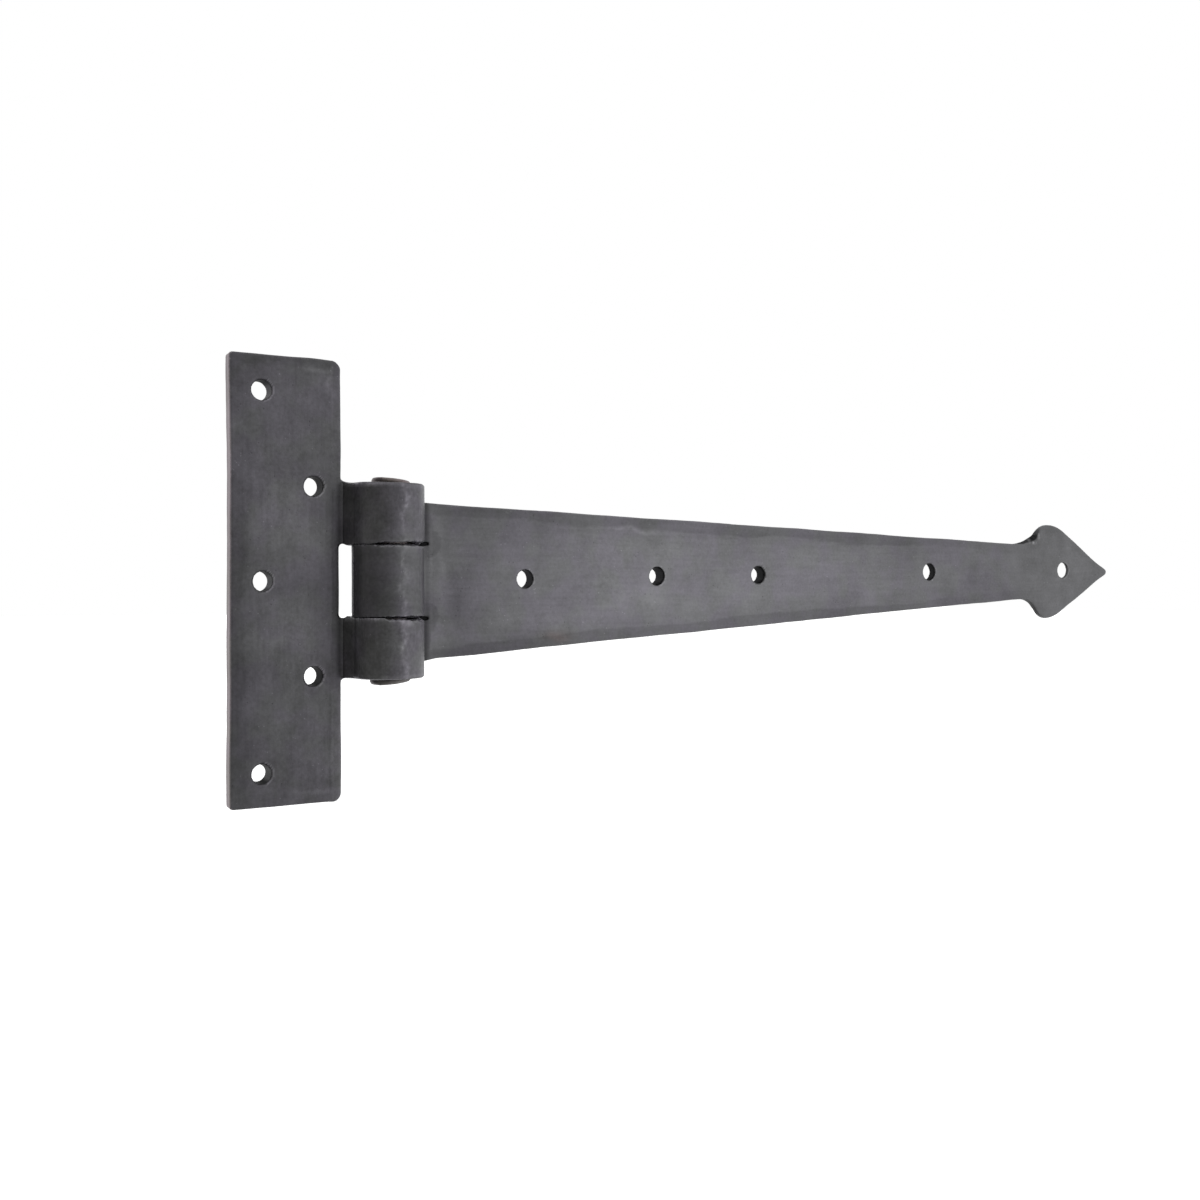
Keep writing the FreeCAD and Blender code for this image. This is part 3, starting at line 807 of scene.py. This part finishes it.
def steel(name, dark, light, burnish, streak):
    """Waxed forged steel: mottled dark grey with a patina that is darker along the edges.

    dark and light are the two main tones, burnish is the least roughness, and streak is the
    stretch of the faint drawn grain. The mesh says how light each place is, with its painted light
    and shade, how far its edge is, how dark the edge's band is, and how brown it is, or below zero
    how olive. Dark places, such as the holes' walls, also lose some of the bright reflection at a
    flat angle.
    """
    material = bpy.data.materials.new(name)
    material.use_nodes = True
    graph = Graph(material.node_tree)
    place = graph.add("ShaderNodeTexCoord").outputs["Object"]
    rim, tone_and_light, band_share, brown = (
        graph.add("ShaderNodeAttribute", attribute_name=given).outputs["Fac"]
        for given in ("rim", "tone", "band", "brown"))

    clouds = graph.noise(place, 20.0, 3.0, 0.55)
    patches = graph.noise(place, 4.5, 3.0, 0.6)
    grain = graph.noise(place, 0.8, 2.0, 0.6)
    drawn = graph.noise(place, 1.2, 3.0, 0.6, stretch=streak)
    hue = graph.noise(place, 8.0, 2.0, 0.5)

    tone = graph.math("MULTIPLY", clouds, 0.34)
    tone = graph.math("MULTIPLY_ADD", patches, 0.24, tone)
    tone = graph.math("MULTIPLY_ADD", grain, 0.26, tone)
    tone = graph.math("MULTIPLY_ADD", drawn, 0.16, tone)
    share = graph.ramp(tone, 0.38, 0.62, smooth=False)
    colour = graph.mix(share, dark, light)

    tint = graph.mix(graph.ramp(hue, 0.38, 0.62), (0.988, 1.009, 0.970), (1.008, 0.991, 1.024))
    tinted = graph.math("ADD", brown, 1.0, clamp=True)
    colour = graph.mix(tinted, colour, tint, "MULTIPLY")
    browned = graph.mix(1.0, colour, (1.12, 0.97, 0.93), "MULTIPLY")
    colour = graph.mix(graph.math("MULTIPLY", brown, 0.8), colour, browned)
    olive = graph.mix(1.0, colour, (0.985, 1.005, 0.965), "MULTIPLY")
    colour = graph.mix(graph.math("MULTIPLY", brown, -1.0), colour, olive)

    long_waves = (0.3, 1.0, 1.0)
    short = graph.noise(place, 5.0, 3.0, 0.6, stretch=long_waves)
    broad = graph.noise(place, 11.0, 1.0, 0.5, stretch=long_waves)
    ragged = graph.math("MULTIPLY_ADD", short, 3.6, -3.3)
    ragged = graph.math("MULTIPLY_ADD", broad, 3.0, ragged)
    border = graph.ramp(graph.math("ADD", rim, ragged), 2.7, 3.5, 0.82, 1.0)
    inward = graph.ramp(rim, 2.0, 9.0, 0.89, 1.0)
    darker = graph.math("MULTIPLY", border, inward)
    band = graph.math("MULTIPLY_ADD", graph.math("SUBTRACT", darker, 1.0), band_share, 1.0)

    cells_per_metre = 900.0
    cells = graph.add("ShaderNodeTexVoronoi", {
        "Vector": graph.scaled(place, (cells_per_metre,) * 3), "Scale": 1.0,
        "Randomness": 1.0}, feature="F1")
    off_cell = cells.outputs["Distance"]
    pit_here = graph.ramp(graph.noise(place, 2.6, 1.0), 0.58, 0.70)
    pit = graph.math("MULTIPLY", graph.ramp(off_cell, 0.10, 0.26, 1.0, 0.0), pit_here)
    speck_here = graph.ramp(graph.noise(place, 3.1, 1.0), 0.40, 0.32)
    speck = graph.math("MULTIPLY", graph.ramp(off_cell, 0.08, 0.22, 1.0, 0.0), speck_here)
    spotted = graph.math("MULTIPLY_ADD", speck, 0.5, graph.math("MULTIPLY_ADD", pit, -0.25, 1.0))
    # The mesh's tone, with its painted light and shade, sets how light the colour is
    level = graph.math("MULTIPLY", graph.math("MULTIPLY", tone_and_light, band), spotted)
    colour = graph.mix(1.0, colour, graph.grey(level), "MULTIPLY")
    glancing = graph.ramp(tone_and_light, 0.05, 0.5, 0.5, 1.0)

    rough = graph.math("MULTIPLY_ADD", patches, 0.14, burnish)
    rough = graph.math("MULTIPLY_ADD", grain, 0.10, rough)
    height = graph.math("MULTIPLY_ADD", grain, 0.5, graph.math("MULTIPLY", patches, 1.2))
    height = graph.math("MULTIPLY_ADD", pit, -0.9, height)
    bump = graph.add("ShaderNodeBump", {"Strength": 0.35, "Distance": 0.12 * MM, "Height": height})
    surface = graph.add("ShaderNodeBsdfPrincipled", {
        "Base Color": colour, "Metallic": 1.0, "Roughness": rough,
        "Specular Tint": graph.grey(glancing), "Normal": bump.outputs[0]})
    output = graph.add("ShaderNodeOutputMaterial")
    graph.tree.links.new(surface.outputs[0], output.inputs[0])
    return material


# Camera, light and floor

def make_camera():
    data = bpy.data.cameras.new("camera")
    data.sensor_width = SENSOR_MM
    data.lens = FOCAL_PX / FRAME_PX * SENSOR_MM
    data.shift_y = (HORIZON_ROW_PX - FRAME_PX / 2) / FRAME_PX
    data.clip_start = 0.01
    camera = bpy.data.objects.new("camera", data)
    camera.location = Vector(CAMERA_PLACE) * MM
    camera.rotation_euler = (math.radians(90.0), 0.0, -math.radians(CAMERA_YAW_DEG))
    bpy.context.scene.collection.objects.link(camera)
    bpy.context.scene.camera = camera


def make_world():
    """A white backdrop, and soft light that grows from the left by the front to the right."""
    world = bpy.data.worlds.new("studio")
    world.use_nodes = True
    bpy.context.scene.world = world
    graph = Graph(world.node_tree)
    direction = graph.add("ShaderNodeTexCoord").outputs["Generated"]
    parts = graph.add("ShaderNodeSeparateXYZ", {"Vector": direction}).outputs
    from_front = graph.math("MULTIPLY", parts["Y"], 0.174)
    toward_light = graph.math("MULTIPLY_ADD", parts["X"], 0.985, from_front)
    share = graph.ramp(toward_light, -1.0, 1.0, smooth=False)
    ramp = graph.add("ShaderNodeValToRGB", {"Fac": share})
    stops = ((0.0, 0.24, 0.93), (0.08, 0.26, 0.94), (0.25, 0.40, 0.97), (0.5, 0.59, 1.0),
             (0.62, 0.76, 1.0), (0.72, 0.98, 1.0), (1.0, 0.97, 1.0))
    elements = ramp.color_ramp.elements
    while len(elements) < len(stops):
        elements.new(0.5)
    for element, (place, level, blue) in zip(elements, stops):
        element.position = place
        element.color = (level, level, level * blue, 1.0)
    behind = graph.ramp(parts["Y"], 0.35, 0.9)
    above = graph.ramp(parts["Z"], 0.35, 0.95)
    rays = graph.add("ShaderNodeLightPath").outputs
    overhead = graph.mix(rays["Is Diffuse Ray"], (1.1, 1.1, 1.1), (2.3, 2.3, 2.3))
    level = graph.mix(behind, ramp.outputs["Color"], (1.0, 1.0, 1.0))
    level = graph.mix(above, level, overhead)
    level = graph.mix(rays["Is Camera Ray"], level, (1.0, 1.0, 1.0))
    background = graph.add("ShaderNodeBackground", {"Color": level, "Strength": 1.0})
    output = graph.add("ShaderNodeOutputWorld")
    graph.tree.links.new(background.outputs[0], output.inputs[0])


def make_floor():
    level = CAD_LOW.z - FLOOR_DROP_M
    ends = ((-1, -1), (1, -1), (1, 1), (-1, 1))
    corners = [(x * FLOOR_REACH_M, y * FLOOR_REACH_M, level) for x, y in ends]
    mesh = bpy.data.meshes.new("floor")
    mesh.from_pydata(corners, [], [(0, 1, 2, 3)])
    floor = bpy.data.objects.new("floor", mesh)
    bpy.context.scene.collection.objects.link(floor)
    floor.visible_glossy = False
    material = bpy.data.materials.new("floor")
    material.use_nodes = True
    graph = Graph(material.node_tree)
    place = graph.add("ShaderNodeTexCoord").outputs["Object"]
    colour = graph.mix(graph.noise(place, 60.0), (0.90, 0.90, 0.90), (0.93, 0.93, 0.93))
    surface = graph.add("ShaderNodeBsdfDiffuse", {"Color": colour})
    output = graph.add("ShaderNodeOutputMaterial")
    graph.tree.links.new(surface.outputs[0], output.inputs[0])
    mesh.materials.append(material)


def main():
    bpy.context.scene.view_settings.view_transform = "Standard"
    make_camera()
    make_world()
    make_floor()

    # Node, body, size of the mesh's squares, seed, screw holes, shape, looks and finish
    pieces = (
        ("fixed_leaf", "plate", 0.37, 11, PLATE_HOLES, leaf_shape, leaf_looks, "leaf_steel"),
        ("strap_leaf", "strap", 0.48, 31, STRAP_HOLES, strap_shape, strap_looks, "strap_steel"),
        ("hinge_pin", "plate", 0.30, 51, (), pin_shape, pin_looks, "pin_steel"),
    )
    for node, body, voxel, seed, holes, shape, looks, slot in pieces:
        piece = forged_piece(node, voxel, seed, holes, shape, looks)
        piece.data.materials.clear()
        piece.data.materials.append(steel(slot, *FINISHES[slot]))
        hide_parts(node)
        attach(piece, body)


main()
